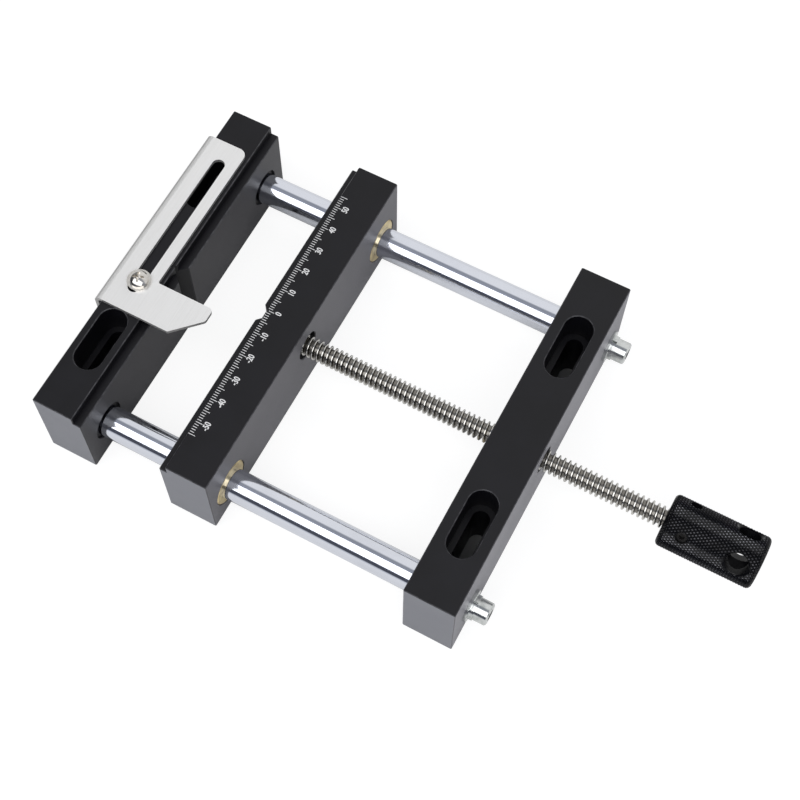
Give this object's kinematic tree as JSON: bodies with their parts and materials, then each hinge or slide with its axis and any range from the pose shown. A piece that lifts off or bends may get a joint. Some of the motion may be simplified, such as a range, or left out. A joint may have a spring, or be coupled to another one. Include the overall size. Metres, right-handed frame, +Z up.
{
  "type": "engraving vise",
  "caption": "Low screw vise for engraving machines: black jaw bars on chromed guide rods, a lead screw with knurled knob, a sliding stop plate and slotted table mounts.",
  "frame": {"origin": "on the table, under the middle of the fixed jaw", "axes": "+X along the lead screw from the fixed jaw to the knob, +Y along the jaws, +Z up"},
  "size_m": [0.2574, 0.14, 0.0429],
  "materials": {
    "black_anodised": "black anodised, satin",
    "black_knob": "black anodised, diamond knurled",
    "chromed_rod": "ground and hard chromed, mirror",
    "screw_steel": "bright rolled steel",
    "zinc_plated_steel": "bright zinc plate",
    "blackened_steel": "black oxide",
    "brass": "pale turned brass",
    "stainless_plate": "brushed stainless sheet"
  },
  "bodies": {
    "base": {"fixed_jaw": "black_anodised", "rear_block": "black_anodised", "lead_nut": "brass", "guide_rod_left": "chromed_rod", "guide_rod_right": "chromed_rod", "front_flat_washers": "zinc_plated_steel", "front_spring_washers": "zinc_plated_steel", "front_cap_screws": "zinc_plated_steel", "rear_flat_washers": "zinc_plated_steel", "rear_spring_washers": "zinc_plated_steel", "rear_cap_screws": "zinc_plated_steel"},
    "jaw": {"moving_jaw": "black_anodised", "jaw_bush_left": "brass", "jaw_bush_right": "brass", "thrust_washer": "zinc_plated_steel", "screw_retaining_grub": "screw_steel"},
    "screw": {"lead_screw": "screw_steel", "knob": "black_knob", "knob_grub_screws": "blackened_steel"},
    "stop": {"stop_plate": "stainless_plate"},
    "stop_clamp": {"stop_screw": "zinc_plated_steel", "stop_washer": "zinc_plated_steel"}
  },
  "joints": [
    {"name": "screw_turn", "type": "hinge", "parent": "jaw", "child": "screw", "pos_m": [0.06, 0, 0.025], "axis": [1, 0, 0], "range_deg": [-5851, 13141]},
    {"name": "jaw_slide", "type": "slide", "parent": "base", "child": "jaw", "axis": [1, 0, 0], "range_m": [-0.0325, 0.073]},
    {"name": "stop_slide", "type": "slide", "parent": "base", "child": "stop", "axis": [0, 1, 0], "range_m": [-0.0567, 0.0026]},
    {"name": "stop_screw_turn", "type": "hinge", "parent": "base", "child": "stop_clamp", "pos_m": [-0.00125, -0.01205, 0.0395], "axis": [0, 0, 1], "range_deg": [0, 360]}
  ],
  "couplings": [
    {"joint": "screw_turn", "follows": "jaw_slide", "rad_per_m": 3141.6}
  ]
}
